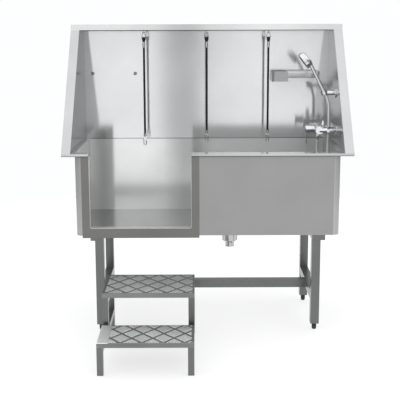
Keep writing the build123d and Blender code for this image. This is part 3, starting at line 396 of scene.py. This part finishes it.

# Places where a sheet's colour is scaled lighter or darker than elsewhere, as boxes of two corners;
# most are painted light and shade, as marked at TONES.
FAR = 2.0                         # beyond the tub in every direction
SKIN = 0.0006                     # behind an outer face, within the sheet
CORNER_X = 0.5515                 # where the side sheets start to bend round to the front
GUARD_X = 0.5948                  # just within the inner faces of the splash guards
PANEL_Y = -0.0343                 # just behind the outer face of the front
SILL_Y = -0.030
SILL_Z = 0.4705                   # just under the sill's top
WALL_BACK_Y = 0.5465              # outer face of the basin's back wall
LEDGE_TOP_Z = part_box("top_ledge")[1][2]
TREAD_SKIN = 0.0010
LOWER_TREAD_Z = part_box("lower_tread")[1][2] - TREAD_SKIN
UPPER_TREAD_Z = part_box("upper_tread")[1][2] - TREAD_SKIN

BETWEEN_GUARDS = ((-GUARD_X, -FAR, -FAR), (GUARD_X, FAR, FAR))
BETWEEN_CORNERS = ((-CORNER_X, -FAR, -FAR), (CORNER_X, FAR, FAR))
INSIDE_BASIN = ((-CORNER_X, PANEL_Y, -FAR), (CORNER_X, FAR, FAR))
INSIDE_SILL = ((-FAR, SILL_Y, -FAR), (FAR, FAR, SILL_Z))
BEFORE_WALL_BACK = ((-FAR, -FAR, -FAR), (FAR, WALL_BACK_Y - SKIN, FAR))
UNDER_LEDGE_TOP = ((-FAR, -FAR, -FAR), (FAR, FAR, LEDGE_TOP_Z - SKIN))
# a soft band of painted shade down the basin's back wall
PAINTED_SHADE_STRIP = ((-0.115, 0.5, -FAR), (-0.065, 0.6, FAR))
SHADED_TRAY_END = ((0.31, 0.40, 1.0), (0.391, 0.60, 1.2))
PLAIN_STRIP = ((-0.45, -0.60, 0.1335), (-0.397, -0.35, 0.14))
LOWER_TREAD_TOP = ((-FAR, -FAR, LOWER_TREAD_Z), (FAR, FAR, FAR))
UPPER_TREAD_TOP = ((-FAR, -FAR, UPPER_TREAD_Z), (FAR, FAR, FAR))

TONES = {
    # node: boxes, each with the tone inside it, the tone outside it and perhaps a soft edge
    # painted shade: each guard is painted much darker on its part between the guards, its inner
    # face, and somewhat darker elsewhere
    "splash_guard_left": [(BETWEEN_GUARDS, 0.135, 0.76)],
    "splash_guard_right": [(BETWEEN_GUARDS, 0.52, 0.78)],
    # painted light and shade: the side sheets are painted lighter inside the basin, darker round
    # the front corners and a little less dark on the sides
    "side_wrap_left": [(INSIDE_BASIN, 1.55, 0.50), (BETWEEN_CORNERS, 1.0, 1.35)],
    "side_wrap_right": [(INSIDE_BASIN, 1.55, 0.50), (BETWEEN_CORNERS, 1.0, 1.5)],
    # painted shade: the ledge's top face is painted darker than the rest of it
    "top_ledge": [(UNDER_LEDGE_TOP, 1.0, 0.70)],
    # painted light: the door surround is painted lighter inside the basin, and lighter still on the
    # sill's inner side, faces that lie in shade
    "door_surround": [(INSIDE_BASIN, 2.8, 1.0), (INSIDE_SILL, 1.9, 1.0)],
    # painted shade: a soft darker band down the back wall, and its outer face painted darker
    "back_wall": [(PAINTED_SHADE_STRIP, 0.70, 1.0, 0.10), (BEFORE_WALL_BACK, 1.0, 0.45)],
    # painted shade: one end of the tray is painted darker, the rest a little darker
    "soap_tray": [(SHADED_TRAY_END, 0.52, 0.95, 0.002)],
    # painted light: the tread's top face is painted lighter than its lip and sides; beyond the
    # plain strip the sheet is darker
    "lower_tread": [(PLAIN_STRIP, 1.0, 0.28), (LOWER_TREAD_TOP, 1.35, 1.0)],
    # painted shade: the tread's top face is painted darker than its lip and sides
    "upper_tread": [(UPPER_TREAD_TOP, 0.78, 1.0)],
}

finishes = {}
for make, table in ((steel, STEELS), (chrome, CHROMES), (matte, MATTES)):
    for slot_name, values in table.items():
        finishes[slot_name] = make(slot_name, *values)


def finish_of(name, slot):
    """The material of a node or piece: its slot's, or its own where its finish or its painted light
    and shade differ.
    """
    if name in OWN_STEELS:
        material = steel(f"{name}_steel", *OWN_STEELS[name])
    elif name in TONES:
        material = finishes[slot].copy()
    else:
        material = finishes[slot]
    for tone in TONES.get(name, ()):
        toned(material, *tone)
    return material


def finish_nodes():
    """Give every carried-over node its material."""
    for entry in frame["record"]["subparts"]:
        material = finish_of(entry["node"], entry["material_slot"])
        for place in nodes[entry["node"]].material_slots:
            place.material = material


EDGE_SEGMENTS = 2
EDGE_ANGLE = radians(50)
EDGE_WIDTHS = {
    # start of a node's name: width of its rounded edges
    "rim_": 0.0006,
    "top_ledge": 0.0006,
    "door_surround": 0.0006,
    "splash_guard": 0.0005,
    "backsplash": 0.0004,
    "back_wall": 0.0004,
    "soap_tray": 0.0004,
    "leg_": 0.0030,
    "frame_channel": 0.0020,
    "cross_stretcher": 0.0030,
    "side_stretcher": 0.0030,
    "step_side": 0.0018,
    "tether_": 0.0003,
}


def round_edges():
    """Round the sharp edges of folded sheet and of tubes a little, so that they catch the light."""
    for name, node in nodes.items():
        for start, width in EDGE_WIDTHS.items():
            if name.startswith(start):
                bevel = node.modifiers.new("edges", "BEVEL")
                bevel.width = width
                bevel.segments = EDGE_SEGMENTS
                bevel.limit_method = "ANGLE"
                bevel.angle_limit = EDGE_ANGLE
                bevel.harden_normals = True


def finish(piece, slot):
    """Give a new piece its material, chosen by its slot."""
    piece.data.materials.append(finish_of(piece.name, slot))


# ---------------------------------------------------------------- hose
HOSE_D = 0.014
HOSE_PITCH = 0.005
HOSE_STEP = HOSE_PITCH / 5
HOSE_GROOVE = 0.0007
HOSE_SIDES = 20
HOSE_ROUTE = [
    (0.5475, 0.2660, 1.0280),
    (0.5556, 0.2660, 1.0119),
    (0.5630, 0.2660, 0.9850),
    (0.5640, 0.2660, 0.9510),
    (0.5625, 0.2655, 0.8700),
    (0.5610, 0.2630, 0.7750),
    (0.5590, 0.2570, 0.6850),
    (0.5570, 0.2430, 0.6050),
    (0.5550, 0.2150, 0.5350),
    (0.5520, 0.1710, 0.4800),
    (0.5460, 0.1170, 0.4506),
    (0.5270, 0.0590, 0.4476),
    (0.4840, 0.0170, 0.4476),
    (0.4240, 0.0090, 0.4476),
    (0.3740, 0.0450, 0.4476),
    (0.3600, 0.1050, 0.4476),
    (0.3760, 0.1650, 0.4476),
    (0.4120, 0.2150, 0.4476),
    (0.4520, 0.2590, 0.4536),
    (0.4860, 0.2910, 0.4810),
    (0.5060, 0.3060, 0.5320),
    (0.5140, 0.3105, 0.6050),
    (0.5170, 0.3122, 0.6950),
    (0.5180, 0.3120, 0.7800),
    (0.5180, 0.3120, 0.8220),
]


def add_hose():
    """The shower hose: a wound metal strip, so its surface is a row of rounded ribs."""
    line = resampled(spline_points(HOSE_ROUTE), HOSE_STEP)

    def ribbed(distance, angle):
        turn = distance / HOSE_PITCH + angle / tau
        return HOSE_D / 2 - HOSE_GROOVE * (1 - abs(sin(pi * turn))) ** 2

    hose = tube_along("shower_hose_wound", line, ribbed, HOSE_SIDES)
    finish(hose, "chrome")
    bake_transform(hose)
    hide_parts("shower_hose")


# ---------------------------------------------------------------- tethers
TETHER_NAMES = ("left", "middle", "right")
CORD_D = 0.010
STRANDS = 8
BRAID_TWIST = 260.0               # radians per metre
BRAID_SINK = 0.0007
BRAID_HEIGHT = 0.0009
BRAID_STEP = 0.0012
BRAID_SIDES = 32
STRAP_SIDES = 24
STRAP_SQUARENESS = 0.5            # the power that makes a circle into a rounded square
STRAP_LEVELS = [
    # half width, half thickness and height above the cord's top
    (0.0046, 0.0040, 0.0226),
    (0.0050, 0.0044, 0.0240),
    (0.0062, 0.0044, 0.0290),
    (0.0078, 0.0044, 0.0340),
    (0.0092, 0.0044, 0.0390),
    (0.0093, 0.0046, 0.0440),
    (0.0093, 0.0046, 0.0470),
    (0.0086, 0.0036, 0.0488),
]


def cord_place(name):
    """Where a tether's cord hangs: from side to side, front to back, its top and its bottom."""
    low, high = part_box(f"tether_{name}_cord")
    return (low[0] + high[0]) / 2, (low[1] + high[1]) / 2, high[2], low[2]


def add_tether(name):
    """The braided cord of a tether."""
    x, y, top_z, bottom_z = cord_place(name)
    top = Vector((x, y, top_z))
    bottom = Vector((x, y, bottom_z))
    line = resampled([top, bottom], BRAID_STEP)

    def braided(distance, angle):
        twist = distance * BRAID_TWIST
        over = abs(sin(angle * STRANDS / 2 + twist)) * abs(sin(angle * STRANDS / 2 - twist))
        return CORD_D / 2 - BRAID_SINK + BRAID_HEIGHT * over

    cord = tube_along(f"tether_{name}_braid", line, braided, BRAID_SIDES)
    finish(cord, "black_cord")
    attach(cord, f"tether_{name}")
    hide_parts(f"tether_{name}_cord")


def rounded(value):
    """A sine or cosine pushed outwards, for a ring that is a rounded square."""
    return abs(value) ** STRAP_SQUARENESS * (1 if value > 0 else -1)


def add_strap(name):
    """The dark strap that is folded over the foot of a tether's top loop."""
    x, y, top_z, _ = cord_place(name)

    def build(bm):
        rings = []
        for half_width, half_thick, height in STRAP_LEVELS:
            ring = []
            for k in range(STRAP_SIDES):
                angle = tau * k / STRAP_SIDES
                ring.append(bm.verts.new((x + half_width * rounded(cos(angle)),
                                          y + half_thick * rounded(sin(angle)),
                                          top_z + height)))
            rings.append(ring)
        bridge_rings(bm, rings)
    strap = mesh_from(f"tether_{name}_strap", build)
    finish(strap, "black_cord")
    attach(strap, f"tether_{name}")


# ---------------------------------------------------------------- treads
DIAMOND = (0.084, 0.108)          # width and depth of one diamond of the tread pattern
DIAMOND_BARS = 6
DIAMOND_REACH = 0.41              # half a bar's length, as a share of a diamond's side
DIAMOND_STEPS = range(-10, 11)    # half diamonds each way, enough to cover a tread
BAR_WIDTH = 0.0062
BAR_LEVELS = [
    # height, half width and how far the ends are pulled in
    (-0.0003, BAR_WIDTH / 2, 0.0),
    (0.000825, BAR_WIDTH * 0.36, 0.0012),
    (0.0011, BAR_WIDTH * 0.2, 0.0022),
]
TREADS = {
    # name: (centre of one diamond, left and right margins, front and back margins)
    "upper": ((-0.174, -0.162), (0.012, 0.008), (0.006, 0.016)),
    "lower": ((-0.181, -0.514), (0.046, 0.012), (0.005, 0.007)),
}
LEAST_RUN = 1e-9                  # a line that runs less than this is taken as parallel


def clipped(a, b, low, high):
    """The part of the segment a-b that lies in a rectangle, or None."""
    start, end = 0.0, 1.0
    for axis in (0, 1):
        run = b[axis] - a[axis]
        for limit, sign in ((low[axis], -1), (high[axis], 1)):
            reach = sign * (limit - a[axis])
            if abs(run) > LEAST_RUN:
                at = (limit - a[axis]) / run
                if sign * run > 0:
                    end = min(end, at)
                else:
                    start = max(start, at)
            elif reach < 0:
                return None
    if (end - start) * (b - a).length < BAR_WIDTH:
        return None
    return a.lerp(b, start), a.lerp(b, end)


def add_ridge(bm, a, b, z):
    """A low bar with sloping sides and ends, from a to b."""
    ahead = (b - a).normalized()
    side = Vector((-ahead.y, ahead.x))
    rings = []
    for height, half_width, pull in BAR_LEVELS:
        ring = []
        for end, way, turn in ((a, 1, -1), (b, -1, -1), (b, -1, 1), (a, 1, 1)):
            place = end + ahead * way * pull + side * turn * half_width
            ring.append(bm.verts.new((place.x, place.y, z + height)))
        rings.append(ring)
    bridge_rings(bm, rings)


def add_tread_bars(name):
    """Raised bars in diamonds, whose direction alternates from one column to the next."""
    anchor, side_margins, end_margins = TREADS[name]
    low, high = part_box(f"{name}_tread")
    field_low = (low[0] + side_margins[0], low[1] + end_margins[0])
    field_high = (high[0] - side_margins[1], high[1] - end_margins[1])
    half_x, half_y = DIAMOND[0] / 2, DIAMOND[1] / 2
    rise = Vector((half_x, half_y)) * DIAMOND_REACH
    fall = Vector((half_x, -half_y)) * DIAMOND_REACH

    def build(bm):
        for column in DIAMOND_STEPS:
            along, across = (rise, fall) if column % 2 else (fall, rise)
            for row in DIAMOND_STEPS:
                if (column + row) % 2:
                    continue
                centre = Vector((anchor[0] + column * half_x, anchor[1] + row * half_y))
                for k in range(DIAMOND_BARS):
                    middle = centre + across * ((2 * k + 1 - DIAMOND_BARS) / DIAMOND_BARS)
                    bar = clipped(middle - along, middle + along, field_low, field_high)
                    if bar:
                        add_ridge(bm, *bar, high[2])
    bars = mesh_from(f"{name}_tread_bars", build, smooth=False)
    finish(bars, "tread_plate")
    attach(bars, "steps")


# ---------------------------------------------------------------- sealant bead, painted shadow lines and the door's hem
BEAD_UNEVEN = 0.04                # share of a bead's radius
BEAD_LOBES = 3
DARK_LINE_SPANS = 8
DARK_LINE_SIDES = 10
SEALS_AND_SHADOW_LINES = {
    # name: (left end, right end, front or back, height, width)
    "seam_bead": (-0.578, 0.578, 0.5450, 0.7990, 0.0024),
    # painted shadow: the dark lines under the ledge's lip and under the rims' lips
    "ledge_lip_shadow_line": (-0.594, 0.594, 0.3785, 1.3255, 0.0032),
    "rim_lip_shadow_line_left": (-0.634, -0.518, -0.0425, 0.7912, 0.0026),
    "rim_lip_shadow_line_right": (-0.071, 0.634, -0.0425, 0.7912, 0.0026),
}
DOOR_LEFT, DOOR_RIGHT = -0.517, -0.072
SILL_TOP = 0.471
DOOR_HEM_D = 0.0018
DOOR_HEM_CORNER = 0.004
DOOR_HEM_SIDES = 12


def bead_along(name, line, width, sides):
    """A thin bead, slightly uneven round its section."""
    def uneven(distance, angle):
        return width / 2 * (1 + BEAD_UNEVEN * sin(angle * BEAD_LOBES))
    return tube_along(name, line, uneven, sides)


def add_dark_line(name):
    """A thin dark bead: sealant along a joint, and painted shadow along the fold under a lip."""
    left, right, y, z, width = SEALS_AND_SHADOW_LINES[name]
    line = [Vector((left + (right - left) * k / DARK_LINE_SPANS, y, z)) for k in range(DARK_LINE_SPANS + 1)]
    bead = bead_along(name, line, width, DARK_LINE_SIDES)
    finish(bead, "rubber_seal")
    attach(bead, "tub")


def add_door_hem():
    """The bright rolled edge round the doorway's opening."""
    low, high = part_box("door_surround")
    outline = [
        (DOOR_LEFT, high[2]),
        (DOOR_LEFT, SILL_TOP + DOOR_HEM_CORNER),
        (DOOR_LEFT + DOOR_HEM_CORNER, SILL_TOP),
        (DOOR_RIGHT - DOOR_HEM_CORNER, SILL_TOP),
        (DOOR_RIGHT, SILL_TOP + DOOR_HEM_CORNER),
        (DOOR_RIGHT, high[2]),
    ]
    line = [Vector((x, low[1], z)) for x, z in outline]
    hem = bead_along("door_hem", line, DOOR_HEM_D, DOOR_HEM_SIDES)
    finish(hem, "polished_steel")
    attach(hem, "tub")


add_camera()
finish_nodes()
round_edges()
add_hose()
for tether_name in TETHER_NAMES:
    add_tether(tether_name)
    add_strap(tether_name)
for tread_name in TREADS:
    add_tread_bars(tread_name)
for dark_line_name in SEALS_AND_SHADOW_LINES:
    add_dark_line(dark_line_name)
add_door_hem()


# ---------------------------------------------------------------- stage and light
FLOOR_RADIUS = 3.3
FLOOR_SEGMENTS = 96
FLOOR_SHADE = 0.30
FLOOR_ROUGHNESS = 0.8
FLOOR_GLOSS = 0.1
FLOOR_GLOW = 0.72
LIGHT_TINT = (0.985, 0.995, 1.0)
SKY_LIGHT = 1.36                  # brightness overhead
SIDE_LIGHT = 0.38                 # brightness low down at the sides and behind
LOW_TO_SKY = (0.2, 0.55)          # upward part of the direction, from low light to sky
BACK_TO_FRONT = (0.2, -0.2)       # backward part of the direction, from behind to in front
FRONT_BANDS = [
    # (sideways part of the direction, brightness) across the front of the studio
    (-1.0, 0.35), (-0.35, 0.40), (-0.20, 0.95), (-0.12, 1.40), (-0.050, 1.45),
    (-0.028, 0.62), (-0.008, 0.55), (0.012, 1.20), (0.06, 1.40), (0.13, 1.30),
    (0.20, 0.95), (0.35, 0.40), (1.0, 0.35),
]


def add_floor():
    """A pale round floor."""
    def build(bm):
        bmesh.ops.create_circle(bm, cap_ends=True, segments=FLOOR_SEGMENTS, radius=FLOOR_RADIUS)
    floor = mesh_from("floor", build)
    material, _, shader = new_material("floor")
    shader.inputs["Base Color"].default_value = (FLOOR_SHADE, FLOOR_SHADE, FLOOR_SHADE, 1)
    shader.inputs["Roughness"].default_value = FLOOR_ROUGHNESS
    shader.inputs["Specular IOR Level"].default_value = FLOOR_GLOSS
    shader.inputs["Emission Color"].default_value = (1, 1, 1, 1)
    shader.inputs["Emission Strength"].default_value = FLOOR_GLOW
    floor.data.materials.append(material)


def add_world():
    """Soft studio light: bright above and in front, dim at the sides, plain white to look at."""
    world = bpy.data.worlds.new("studio")
    world.use_nodes = True
    tree = world.node_tree
    node = tree.nodes.new
    link = tree.links.new
    split = node("ShaderNodeSeparateXYZ")
    link(node("ShaderNodeTexCoord").outputs["Generated"], split.inputs["Vector"])

    def stepped(value, start, end):
        step = node("ShaderNodeMapRange")
        step.interpolation_type = "SMOOTHSTEP"
        step.inputs["From Min"].default_value = start
        step.inputs["From Max"].default_value = end
        link(value, step.inputs["Value"])
        return step.outputs["Result"]

    def mixed(factor, low, high):
        mix = node("ShaderNodeMix")
        for place, value in (("Factor", factor), ("A", low), ("B", high)):
            socket = mix.inputs[place]
            if isinstance(value, float):
                socket.default_value = value
            else:
                link(value, socket)
        return mix.outputs["Result"]

    across = node("ShaderNodeMapRange")
    across.inputs["From Min"].default_value = -1.0
    link(split.outputs["X"], across.inputs["Value"])
    ramp = node("ShaderNodeValToRGB")
    ramp.color_ramp.interpolation = "EASE"
    stops = ramp.color_ramp.elements
    while len(stops) < len(FRONT_BANDS):
        stops.new(0.5)
    for stop, (sideways, level) in zip(stops, FRONT_BANDS):
        stop.position = (sideways + 1) / 2
        stop.color = (level, level, level, 1)
    link(across.outputs["Result"], ramp.inputs["Fac"])
    front = stepped(split.outputs["Y"], *BACK_TO_FRONT)
    low_light = mixed(front, SIDE_LIGHT, ramp.outputs["Color"])
    light = mixed(stepped(split.outputs["Z"], *LOW_TO_SKY), low_light, SKY_LIGHT)
    path = node("ShaderNodeLightPath")
    seen = mixed(path.outputs["Is Camera Ray"], light, 1.0)
    background = tree.nodes["Background"]
    background.inputs["Color"].default_value = (*LIGHT_TINT, 1)
    link(seen, background.inputs["Strength"])
    scene.world = world


add_floor()
add_world()
scene.view_settings.view_transform = "Standard"
